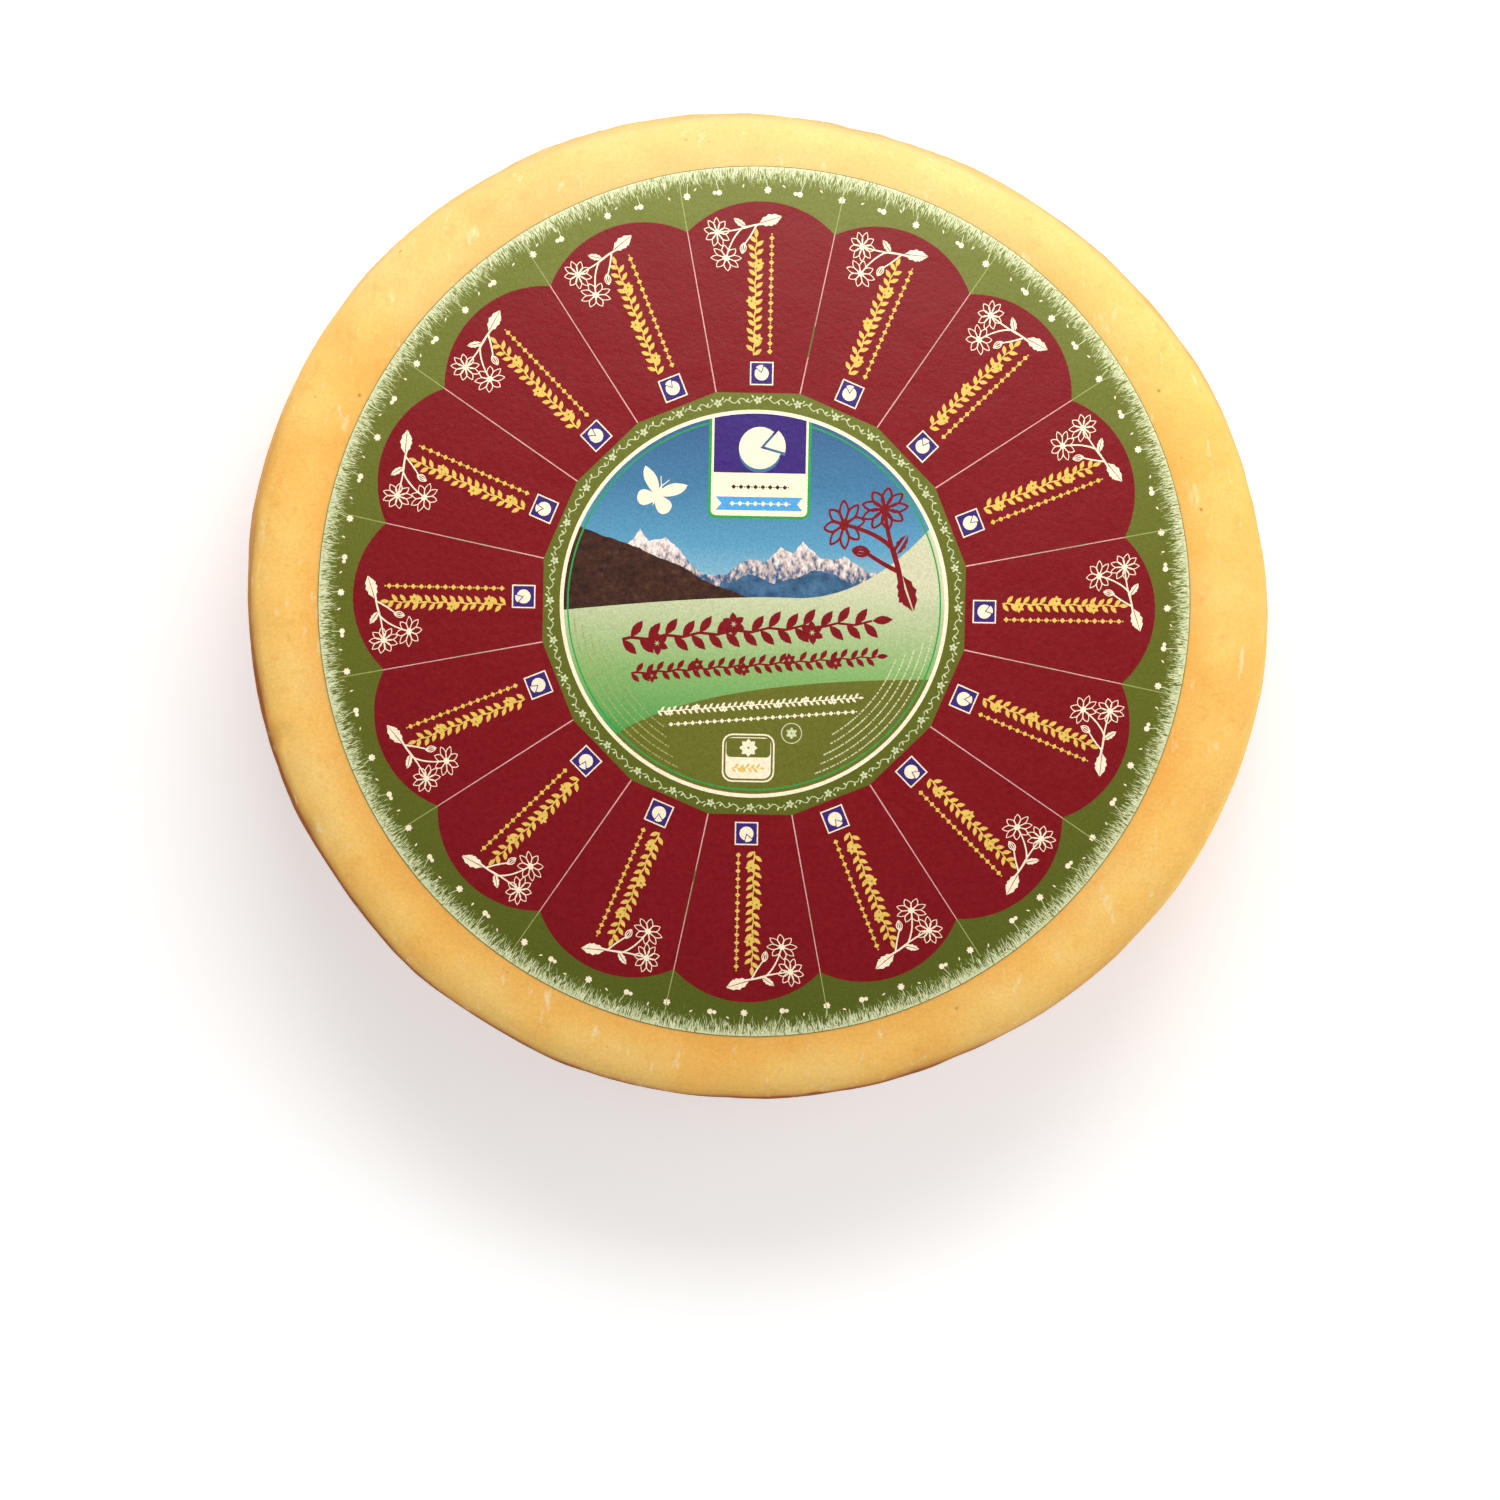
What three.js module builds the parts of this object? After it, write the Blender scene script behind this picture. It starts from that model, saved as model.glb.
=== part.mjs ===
// A whole wheel of semi-hard mountain cheese, lying on its flat underside, with a round paper
// label on its top face. Millimetres, +Z up, origin under the middle of the wheel.
//
// The wheel is one solid: a low drum with a slightly domed top, a side that bulges, rounded edges
// and an outline that is a little oval, as a wheel becomes while it ripens on a board.
// The label is a thin disc that follows the dome.
import * as THREE from "three";

// ---- driving dimensions -------------------------------------------------------------------

const BELLY_RADIUS = 160; // mean radius at the fullest part of the side
const WHEEL_HEIGHT = 94; // from the underside to the middle of the top
const DOME_RISE = 6.5; // the middle of the top above the start of the top edge
const SIDE_BULGE = 3.5; // the belly beyond the two edges

const TOP_EDGE_ROUND = 9; // size of the rounding between the top and the side
const BASE_EDGE_ROUND = 12; // size of the rounding between the underside and the side
const BASE_FLAT_RADIUS = 136; // the part of the underside that lies on the shelf
const BASE_EDGE_LIFT = 0.9; // how far the underside has risen where its edge begins

// The outline's departures from a circle: "lobes" high points, "height" millimetres high.
const OUTLINE_WAVES = [
  { lobes: 2, height: 3.3, peakDegrees: -13 },
  { lobes: 3, height: 1.2, peakDegrees: 9 },
];

const LABEL_RADIUS = 136.5;
const LABEL_THICKNESS = 0.3;
const LABEL_GAP = 0.2; // clearance under the label
const LABEL_OFF_CENTRE = 4; // the label was laid on this far towards +Y

// ---- fineness of the mesh -----------------------------------------------------------------

const SEGMENTS = 96; // around the axis
const EDGE_STEPS = 5; // along each rounded edge
const SIDE_STEPS = 8; // along the bulging side
const FACE_RINGS = [45, 90, 120]; // radii of the rings on the top and the underside
const LABEL_RINGS = [45, 90, 120, LABEL_RADIUS];

// ---- the wheel's form ---------------------------------------------------------------------

const EDGE_RADIUS = BELLY_RADIUS - SIDE_BULGE; // radius of the side where it meets an edge
const DOME_RADIUS = EDGE_RADIUS - TOP_EDGE_ROUND; // where the top face turns into its edge

// How much wider the wheel is at this angle than a round one, as a factor near 1.
function outlineFactor(angle) {
  let factor = 1;
  for (const { lobes, height, peakDegrees } of OUTLINE_WAVES) {
    const peak = THREE.MathUtils.degToRad(peakDegrees);
    factor += (height / BELLY_RADIUS) * Math.cos(lobes * (angle - peak));
  }
  return factor;
}

// Height of the top face at a radius of the round profile.
function domeHeight(radius) {
  return WHEEL_HEIGHT - DOME_RISE * (radius / DOME_RADIUS) ** 2;
}

// Height of the top face over a point of the real, oval wheel.
function topHeightAt(x, y) {
  return domeHeight(Math.hypot(x, y) / outlineFactor(Math.atan2(y, x)));
}

// A curve of the profile, as points, without its first one.
function stepsAlong(curve, steps) {
  return curve.getPoints(steps).slice(1);
}

// Half of the section, from the middle of the underside to the middle of the top.
function wheelProfile() {
  const topEdgeHeight = domeHeight(DOME_RADIUS);
  const baseEdgeStart = new THREE.Vector2(EDGE_RADIUS - BASE_EDGE_ROUND, BASE_EDGE_LIFT);
  const sideStart = new THREE.Vector2(EDGE_RADIUS, BASE_EDGE_LIFT + BASE_EDGE_ROUND);
  const sideEnd = new THREE.Vector2(EDGE_RADIUS, topEdgeHeight - TOP_EDGE_ROUND);
  const topEdgeEnd = new THREE.Vector2(DOME_RADIUS, topEdgeHeight);

  const baseEdge = new THREE.QuadraticBezierCurve(
    baseEdgeStart,
    new THREE.Vector2(EDGE_RADIUS - 1, BASE_EDGE_LIFT + 1),
    sideStart,
  );
  // A quadratic curve reaches half as far out as its control point does.
  const side = new THREE.QuadraticBezierCurve(
    sideStart,
    new THREE.Vector2(EDGE_RADIUS + 2 * SIDE_BULGE, (sideStart.y + sideEnd.y) / 2),
    sideEnd,
  );
  const topEdge = new THREE.QuadraticBezierCurve(
    sideEnd,
    new THREE.Vector2(EDGE_RADIUS - 1, topEdgeHeight - 1),
    topEdgeEnd,
  );

  const underside = [0, ...FACE_RINGS, BASE_FLAT_RADIUS].map((r) => new THREE.Vector2(r, 0));
  const top = [...FACE_RINGS].reverse().map((r) => new THREE.Vector2(r, domeHeight(r)));
  return [
    ...underside,
    baseEdgeStart,
    ...stepsAlong(baseEdge, EDGE_STEPS),
    ...stepsAlong(side, SIDE_STEPS),
    ...stepsAlong(topEdge, EDGE_STEPS),
    ...top,
    new THREE.Vector2(0, WHEEL_HEIGHT),
  ];
}

// A profile turned about the Z axis.
function turned(profile) {
  return new THREE.LatheGeometry(profile, SEGMENTS).rotateX(Math.PI / 2);
}

// Moves every vertex of a geometry by a function that changes the point it is given.
function reshape(geometry, change) {
  const position = geometry.getAttribute("position");
  const point = new THREE.Vector3();
  for (let i = 0; i < position.count; i += 1) {
    point.fromBufferAttribute(position, i);
    change(point);
    position.setXYZ(i, point.x, point.y, point.z);
  }
  position.needsUpdate = true;
  geometry.computeVertexNormals();
  return geometry;
}

// ---- the two pieces -----------------------------------------------------------------------

function makeWheel() {
  const geometry = reshape(turned(wheelProfile()), (point) => {
    const factor = outlineFactor(Math.atan2(point.y, point.x));
    point.x *= factor;
    point.y *= factor;
  });
  const rind = new THREE.MeshStandardMaterial({ color: 0xf6c06c, roughness: 0.55, metalness: 0 });
  const mesh = new THREE.Mesh(geometry, rind);
  mesh.name = "cheese_wheel";
  return mesh;
}

function makeLabel() {
  const below = [0, ...LABEL_RINGS].map((r) => new THREE.Vector2(r, 0));
  const above = [...below].reverse().map(({ x }) => new THREE.Vector2(x, LABEL_THICKNESS));
  const geometry = reshape(turned([...below, ...above]), (point) => {
    point.y += LABEL_OFF_CENTRE;
    point.z += topHeightAt(point.x, point.y) + LABEL_GAP;
  });
  const paper = new THREE.MeshStandardMaterial({ color: 0x8a2127, roughness: 0.5, metalness: 0 });
  const mesh = new THREE.Mesh(geometry, paper);
  mesh.name = "label";
  return mesh;
}

// The group, moved so that the middle of its outline stands over the origin.
function makeCheese() {
  const cheese = new THREE.Group();
  cheese.add(makeWheel(), makeLabel());
  const middle = new THREE.Box3().setFromObject(cheese).getCenter(new THREE.Vector3());
  cheese.position.set(-middle.x, -middle.y, 0);
  return cheese;
}

export default makeCheese();
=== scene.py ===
import cmath
import math
import random

import bmesh
import bpy
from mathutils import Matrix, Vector
from mathutils.geometry import delaunay_2d_cdt


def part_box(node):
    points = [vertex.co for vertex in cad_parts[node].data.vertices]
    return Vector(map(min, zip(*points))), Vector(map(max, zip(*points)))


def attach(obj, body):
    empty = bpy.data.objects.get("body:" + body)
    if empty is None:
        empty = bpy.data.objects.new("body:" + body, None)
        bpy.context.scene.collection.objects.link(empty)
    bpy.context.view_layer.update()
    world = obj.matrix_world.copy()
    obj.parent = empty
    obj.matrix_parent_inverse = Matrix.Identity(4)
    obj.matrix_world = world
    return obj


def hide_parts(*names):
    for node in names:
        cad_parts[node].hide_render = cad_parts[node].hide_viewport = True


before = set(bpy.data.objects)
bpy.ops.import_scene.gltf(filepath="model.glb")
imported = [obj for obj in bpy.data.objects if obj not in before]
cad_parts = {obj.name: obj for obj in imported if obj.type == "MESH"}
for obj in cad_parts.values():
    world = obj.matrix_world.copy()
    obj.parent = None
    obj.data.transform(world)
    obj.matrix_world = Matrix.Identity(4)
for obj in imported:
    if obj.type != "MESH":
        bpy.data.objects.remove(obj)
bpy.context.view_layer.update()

bl_info = {
    "name": "Cheese wheel",
    "version": (1, 0, 0),
    "blender": (4, 5, 0),
    "location": "View3D > Sidebar > Cheese",
    "description": "Models a ripened cheese wheel and its round printed paper label",
    "category": "Add Mesh",
}

MM = 0.001
WHEEL_NODE = "cheese_wheel"
LABEL_NODE = "label"
WHEEL_LOW, WHEEL_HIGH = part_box(WHEEL_NODE)
LABEL_LOW, LABEL_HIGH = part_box(LABEL_NODE)
LABEL_CENTRE = (LABEL_LOW + LABEL_HIGH) / 2
WHEEL_HEIGHT_MM = WHEEL_HIGH.z / MM
LABEL_RADIUS_MM = (LABEL_HIGH.x - LABEL_LOW.x) / 2 / MM


# ---- working on one piece, as by hand --------------------------------------------------------

def deselect_all():
    if bpy.context.mode != "OBJECT":
        bpy.ops.object.mode_set(mode="OBJECT")
    bpy.ops.object.select_all(action="DESELECT")


def take(piece):
    """Makes a piece the only selected object, and the active one."""
    deselect_all()
    piece.select_set(True)
    bpy.context.view_layer.objects.active = piece


def modify(piece, kind, **settings):
    """Adds a modifier with its settings and applies it."""
    take(piece)
    modifier = piece.modifiers.new(kind.title(), kind)
    for name, value in settings.items():
        setattr(modifier, name, value)
    bpy.ops.object.modifier_apply(modifier=modifier.name)


def weigh(piece, name, weight_at):
    """Gives a piece a vertex group whose weights are a function of the vertex's place."""
    group = piece.vertex_groups.new(name=name)
    for vertex in piece.data.vertices:
        group.add([vertex.index], weight_at(vertex.co), "REPLACE")


def ease(low, high, value):
    """0 below low, 1 above high, and an even turn between them."""
    t = min(max((value - low) / (high - low), 0.0), 1.0)
    return t * t * (3 - 2 * t)


# ---- colours and nodes -----------------------------------------------------------------------

def linear(hex_colour):
    """The linear RGBA of an sRGB colour written as #RRGGBB."""
    channels = [int(hex_colour[i:i + 2], 16) / 255 for i in (1, 3, 5)]
    return (*[c / 12.92 if c <= 0.04045 else ((c + 0.055) / 1.055) ** 2.4 for c in channels], 1.0)


def grey(level):
    return (level, level, level, 1.0)


def fill(tree, node, inputs):
    """Fills a node's inputs. Each gets a value, a colour as #RRGGBB or a link from a socket."""
    for key, value in inputs.items():
        if isinstance(value, bpy.types.NodeSocket):
            tree.links.new(value, node.inputs[key])
        else:
            node.inputs[key].default_value = linear(value) if isinstance(value, str) else value


def add(tree, kind, inputs=None, **settings):
    """Adds a shader node with its inputs and settings, and returns its first output in use.

    A ramp's stops are pairs of a position and a colour.
    """
    node = tree.nodes.new("ShaderNode" + kind)
    for name, value in settings.items():
        if name == "stops":
            elements = node.color_ramp.elements
            while len(elements) < len(value):
                elements.new(0.5)
            for element, (position, colour) in zip(elements, value):
                element.position = position
                element.color = linear(colour) if isinstance(colour, str) else colour
        else:
            setattr(node, name, value)
    fill(tree, node, inputs or {})
    return next((socket for socket in node.outputs if socket.enabled), node)


def cells(size_mm):
    """The texture scale at which a pattern's cells are about size_mm wide."""
    return 1.0 / (size_mm * MM)


def new_material(name):
    """An empty material with its shader linked to the output: material, tree, shader, place."""
    material = bpy.data.materials.new(name)
    material.use_nodes = True
    tree = material.node_tree
    tree.nodes.clear()
    shader = add(tree, "BsdfPrincipled").node
    add(tree, "OutputMaterial", {"Surface": shader.outputs["BSDF"]})
    return material, tree, shader, add(tree, "TexCoord").node.outputs["Object"]


# ---- outlines of the label's drawing ---------------------------------------------------------
# Points on the label are complex numbers, x + yi, in millimetres from the label's middle.

def polar(radius, degrees):
    return cmath.rect(radius, math.radians(degrees))


def arc(centre, radius, start, end, steps):
    """Points along an arc, from one angle to another, in degrees."""
    return [centre + polar(radius, start + (end - start) * i / steps) for i in range(steps + 1)]


def circle(centre, radius, steps=24):
    return arc(centre, radius, 0, 360, steps)[:-1]


def curve(start, control, end, steps=8):
    """Points along a quadratic curve."""
    ts = [i / steps for i in range(steps + 1)]
    return [(1 - t) ** 2 * start + 2 * t * (1 - t) * control + t * t * end for t in ts]


def block(low, high, corner=0.0):
    """A rectangle between two opposite corners, with round corners if corner isn't 0."""
    if not corner:
        return [low, complex(high.real, low.imag), high, complex(low.real, high.imag)]
    inset = complex(corner, corner)
    low, high = low + inset, high - inset
    middles = [high, complex(low.real, high.imag), low, complex(high.real, low.imag)]
    return [p for k, m in enumerate(middles) for p in arc(m, corner, 90 * k, 90 * k + 90, 4)]


def tile(middle, half, corner=0.0):
    """A rectangle round its middle. Half reaches from there to the upper right corner."""
    return block(middle - half, middle + half, corner)


def leaf(length, width, steps=4):
    """A pointed leaf from 0 along +x."""
    ts = [i / steps for i in range(1, steps)]
    upper = [complex(length * t, width / 2 * math.sin(math.pi * t)) for t in ts]
    return [0j, *[p.conjugate() for p in upper], complex(length), *reversed(upper)]


def stroke(path, width, tip=None):
    """A pen line along a path, which narrows from width to tip."""
    tip = width if tip is None else tip
    last = len(path) - 1
    left, right = [], []
    for i, point in enumerate(path):
        along = path[min(i + 1, last)] - path[max(i - 1, 0)]
        side = 1j * along / abs(along) * (width + (tip - width) * i / last) / 2
        left.append(point + side)
        right.append(point - side)
    return right + left[::-1]


def placed(shapes, at=0j, turn=0.0, size=1.0):
    """Copies of outlines, enlarged, turned and moved."""
    spin = polar(size, turn)
    return [[at + spin * point for point in shape] for shape in shapes]


def ragged(points, roughness, rounds, rng):
    """A line whose pieces are broken in the middle and pushed up or down, round after round."""
    for _ in range(rounds):
        rough = [points[0]]
        for a, b in zip(points, points[1:]):
            rough += [(a + b) / 2 + 1j * rng.uniform(-1, 1) * roughness * abs(b - a), b]
        points = rough
    return points


# ---- motifs ----------------------------------------------------------------------------------

def open_petal(length, width, pen):
    """A petal drawn as two pen lines that meet at its tip."""
    sides = [curve(0j, complex(length * 0.5, s * width), complex(length), 5) for s in (1, -1)]
    return [stroke(side, pen, pen * 0.8) for side in sides]


def daisy(petals, radius, pen, droop=1.0):
    """An open flower in pen lines round a solid heart. Droop flattens it, as seen from the side."""
    heart = 0.2 * radius
    petal = open_petal(radius - heart * 0.6, radius * 0.42, pen)
    shapes = [circle(0j, heart * 1.1, 10)]
    for k in range(petals):
        turn = 360 * (k + 0.5) / petals
        shapes += placed(petal, polar(heart * 0.6, turn), turn)
    return [[complex(p.real, p.imag * droop) for p in shape] for shape in shapes]


def bud(length, pen):
    """A closed flower in pen lines, pointing along +x."""
    return open_petal(length, length * 0.55, pen) + open_petal(length * 0.9, length * 0.2, pen)


def veined_leaf(length, width, pen):
    """A solid leaf with toothed edges, split along its middle rib."""
    edge = curve(complex(0, pen * 0.4), complex(length * 0.45, width), complex(length, pen * 0.2))
    toothed = [complex(p.real, p.imag * (0.78 if i % 2 else 1.0)) for i, p in enumerate(edge)]
    return [toothed, [p.conjugate() for p in toothed]]


def posy(pen):
    """Two daisies, a bud and a leaf on one stem, about 22 high. It grows from 0 along +y."""
    heads = [complex(-3.4, 17.2), complex(-11.2, 14.0), complex(-6.8, 8.6)]
    forks = [complex(-0.6, 6.0), complex(-1.6, 9.4), complex(-0.4, 5.0)]
    bends = [complex(-2.6, 11.0), complex(-4.6, 12.6), complex(-3.6, 6.4)]
    shapes = [stroke(curve(complex(0.4, -1.0), complex(0.4, 3.0), forks[1]), pen * 2.2, pen * 1.5)]
    for head, bend, fork in zip(heads, bends, forks):
        shapes.append(stroke(curve(fork, bend, head), pen * 1.6, pen * 1.2))
    shapes += placed(daisy(9, 4.7, pen, droop=0.86), heads[0], 24)
    shapes += placed(daisy(8, 4.9, pen, droop=0.8), heads[1], 74)
    shapes += placed(bud(3.4, pen), heads[2] + 0.6, 172)
    shapes += placed(veined_leaf(7.4, 3.8, pen), complex(0.1, 4.2), -70)
    shapes += placed(veined_leaf(4.6, 2.0, pen), complex(-1.2, 8.4), 58)
    return shapes


def blossom(petals, radius):
    """A small solid flower."""
    petal = [leaf(radius, radius * 0.66)]
    turns = [90 + 360 * k / petals for k in range(petals)]
    return [shape for turn in turns for shape in placed(petal, polar(radius * 0.1, turn), turn)]


def garland(length, height, pitch, pen):
    """A flowering branch along +x that fills a band of this length and height."""
    halves = round(length / pitch * 2)
    sway = height * 0.05
    stem = [complex(pitch / 2 * i, sway * math.sin(math.pi / 2 * i)) for i in range(halves)]
    blade = [leaf(height * 0.68, height * 0.3)]
    shapes = [stroke(stem, pen, pen * 0.7)]
    for i, root in enumerate(stem[:-1]):
        side = 1 if i % 2 else -1
        if i % 9 == 4:
            shapes += placed(blossom(6, height * 0.36), root + 1j * side * height * 0.2)
        else:
            shapes += placed(blade, root, side * 50)
    shapes += placed(blade, stem[-1])
    return shapes


def beads(length, height):
    """A row of lozenges with dots between them along +x."""
    pitch = height * 1.2
    lozenge = [complex(-0.42), -0.4j, complex(0.42), 0.4j]
    shapes = []
    for k in range(int(length / pitch)):
        x = pitch * (k + 0.5)
        shapes += placed([lozenge], x, 0, height)
        shapes.append(circle(x + pitch / 2, height * 0.13, 6))
    return shapes


def dashes(length, height, rng):
    """A row of short bars of uneven length along +x."""
    shapes, x = [], 0.0
    while x < length:
        bar = rng.uniform(0.8, 3.0) * height
        shapes.append(block(complex(x, -height / 2), complex(x + bar, height / 2)))
        x += bar + height * rng.choice((0.5, 0.5, 1.2))
    return shapes


def bent(shapes, radius, start):
    """Shapes drawn along +x, laid round a circle instead, clockwise from an angle."""
    return [[polar(radius + p.imag, start - math.degrees(p.real / radius)) for p in shape]
            for shape in shapes]


def butterfly(span):
    """A butterfly from above, its body along +y."""
    fore = [*curve(0.06j, 0.1 + 0.42j, 0.5 + 0.46j), *curve(0.5 + 0.46j, 0.52 + 0.16j, 0.04 - 0.02j)]
    hind = [*curve(0.02 + 0j, 0.5 + 0.06j, 0.36 - 0.26j), *curve(0.36 - 0.26j, 0.2 - 0.46j, -0.14j)]
    right = [fore, hind, stroke([0.2j, 0.1 + 0.4j], 0.018)]
    left = [[-point.conjugate() for point in shape] for shape in right]
    body = [[-0.26j + 1j * point for point in leaf(0.52, 0.09)]]
    return placed(right + left + body, size=span)


def cut_wheel(radius):
    """A cheese wheel from above with a slice drawn out of it."""
    rest = [0j, *arc(0j, radius, 50, 345, 20)]
    slice_ = [0j, *arc(0j, radius, -15, 50, 6)]
    return [rest, placed([slice_], polar(radius * 0.22, 17.5))[0]]


# ---- the label's drawing ---------------------------------------------------------------------

PORTIONS = 16  # the print is divided into this many slices
PORTION = 360 / PORTIONS
BORDER_LINE = 0.2  # dark line round the paper's edge
FRINGE = 8.5  # how far the fringe of grass reaches from the paper's edge
LOBE_TIP = 125.5  # radius of a wine red lobe's middle
LOBE_NOTCH = 117.7  # radius of the notch between two lobes
LOBE_BADGE = 72 - 1j
LOBE_POSY = 118.4 - 3.6j
GARLAND_START = 77.6
GARLAND_LENGTH = 38.0
RING_CORNER = 67.2  # the green ring's outer edge is a polygon with this corner radius
VINE_RADIUS = 63.7
PICTURE_RIM = 60.7
PICTURE_RADIUS = 59.5
LETTERING_SLANT = 5.0  # degrees by which the garlands climb to the right
SMALL_PRINT_ROWS = 5
SMALL_PRINT_RADIUS = 56.4  # of the outermost row
SMALL_PRINT_PITCH = 2.2
SMALL_PRINT_INSET = 2.8  # degrees by which each row is shorter at either end than the one before
PICTURE_POSY = 45.6 + 3j
BUTTERFLY = -30.8 + 33.6j
CREST_CORNERS = (-15 + 26.7j, 16.9 + 62j)
BADGE = -0.9 - 48.2j
RING_MARK = 12.5 - 40.2j


class Drawing:
    """Outlines in the order in which they are printed, each with its ink.

    An outline with a window shows only inside that earlier outline.
    """

    def __init__(self):
        self.outlines = []
        self.inks = []
        self.windows = []

    def ink(self, name, shapes, window=None):
        """Prints shapes in one ink, and returns the number of the last, to use as a window."""
        for shape in shapes:
            self.outlines.append(shape)
            self.inks.append(name)
            self.windows.append(window)
        return len(self.outlines) - 1

    def ink_rows(self, rows, window=None):
        """Prints several inks in turn, each with its shapes."""
        for name, shapes in rows:
            self.ink(name, shapes, window)


def draw_meadow_edge(drawing, rng):
    """The green border: a fringe of grass at the paper's edge, stalks, seeds and flower heads."""
    paper = LABEL_RADIUS_MM
    drawing.ink("deep_green", [circle(0j, paper, 288)])
    drawing.ink("grass_fringe", [circle(0j, paper - BORDER_LINE, 288)])
    drawing.ink("olive_green", [circle(0j, paper - FRINGE, 288)])
    for count, root, tip, pen, name in (
        (420, 0.9, (2.2, 4.4), 0.16, "olive_green"),
        (420, 2.6, (4.6, 6.4), 0.18, "grass_green"),
        (260, 3.2, (4.8, 7.2), 0.14, "light_green"),
        (200, 1.2, (2.6, 5.0), 0.18, "cream"),
    ):
        for k in range(count):
            turn = 360 * (k + rng.uniform(-0.5, 0.5)) / count
            lean = rng.uniform(-0.9, 0.9)
            blade = [polar(paper - root, turn), polar(paper - rng.uniform(*tip), turn + lean)]
            drawing.ink(name, [stroke(blade, pen, 0.05)])
    for k in range(PORTIONS * 4):
        turn = PORTION / 4 * (k + rng.uniform(-0.15, 0.15))
        head = polar(paper - rng.uniform(7.2, 8.2), turn)
        stem = stroke([polar(paper - 4, turn + rng.uniform(-0.6, 0.6)), head], 0.22)
        drawing.ink("grass_green", [stem])
        if k % 2:
            pair = [circle(0j, 0.88, 9), circle(1.4 - 0.1j, 0.64, 8), leaf(2.2, 0.5)]
            drawing.ink("cream", placed(pair, head, turn + 90))
        else:
            drawing.ink("cream", placed(blossom(7, 1.1), head, turn) + [circle(head, 0.78, 9)])
        seed_turn = turn + PORTION / 8 + rng.uniform(-0.5, 0.5)
        seed = polar(paper - rng.uniform(5.2, 7.0), seed_turn)
        drawing.ink("cream", placed([leaf(1.3, 0.5)], seed, seed_turn + rng.uniform(100, 250)))


def lobes():
    """The outline of the wine red area: one arc for each portion."""
    half = math.radians(PORTION / 2)
    half_chord = LOBE_NOTCH * math.sin(half)
    rise = LOBE_TIP - LOBE_NOTCH * math.cos(half)
    radius = (half_chord ** 2 + rise ** 2) / (2 * rise)
    reach = math.degrees(math.asin(half_chord / radius))
    one = arc(LOBE_TIP - radius, radius, -reach, reach, 24)[:-1]
    return [p for k in range(PORTIONS) for p in placed([one], turn=PORTION * k)[0]]


def draw_portions(drawing):
    """On each wine red lobe: a small badge, two gold rows where a name would be, and a posy."""
    drawing.ink("wine_red", [lobes()])
    rows = (
        ("cream", [tile(LOBE_BADGE, 3.65 + 3.65j)]),
        ("navy", [tile(LOBE_BADGE, 3.25 + 3.25j)]),
        ("cream", placed(cut_wheel(2.2), LOBE_BADGE)),
        ("gold", placed(garland(GARLAND_LENGTH, 4.5, 2.6, 0.5), GARLAND_START + 1.5j)),
        ("gold", placed(beads(GARLAND_LENGTH, 2.1), GARLAND_START - 3.4j)),
        ("cream", placed(posy(0.33), LOBE_POSY, -2)),
    )
    notch = complex(LOBE_NOTCH)
    cut = stroke([complex(RING_CORNER), notch], 0.38, 0.3)
    crease = stroke([notch, complex(LABEL_RADIUS_MM - 4.5)], 0.28)
    for k in range(PORTIONS):
        turn = PORTION * k
        drawing.ink_rows((name, placed(shapes, turn=turn)) for name, shapes in rows)
        drawing.ink("rose", placed([cut], turn=turn + PORTION / 2))
        drawing.ink("light_green", placed([crease], turn=turn + PORTION / 2))


def draw_vine_ring(drawing):
    """The green ring round the picture with its flowering vine, and the picture's white rim."""
    corners = [polar(RING_CORNER, PORTION * (k + 0.5)) for k in range(PORTIONS)]
    drawing.ink("olive_green", [corners])
    unit = 2 * math.pi * VINE_RADIUS / (PORTIONS * 2)
    wave = [complex(unit * (0.14 + 0.72 * i / 10), 0.75 * math.sin(math.pi * 0.4 * i))
            for i in range(11)]
    motif = [stroke(wave, 0.28)] + placed(blossom(5, 1.25), 0j, 18)
    for i, side in ((2, 1), (5, -1), (8, 1)):
        motif += placed([leaf(1.3, 0.6)], wave[i], side * 60)
    motif += placed([leaf(1.5, 0.5)], complex(unit * 0.1, 0.5), 60)
    motif += placed([leaf(1.5, 0.5)], complex(-unit * 0.1, 0.5), 120)
    for k in range(PORTIONS * 2):
        drawing.ink("grass_green", bent(motif, VINE_RADIUS, PORTION / 2 * k))
    drawing.ink("cream", [circle(0j, PICTURE_RIM, 144)])


def ground(line, rng=None, roughness=0.0, rounds=0):
    """Everything below a line across the picture. The window trims it."""
    line = ragged(line, roughness, rounds, rng) if rounds else line
    deep = -1.2j * PICTURE_RADIUS
    return [deep + line[0].real, deep + line[-1].real, *reversed(line)]


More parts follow.
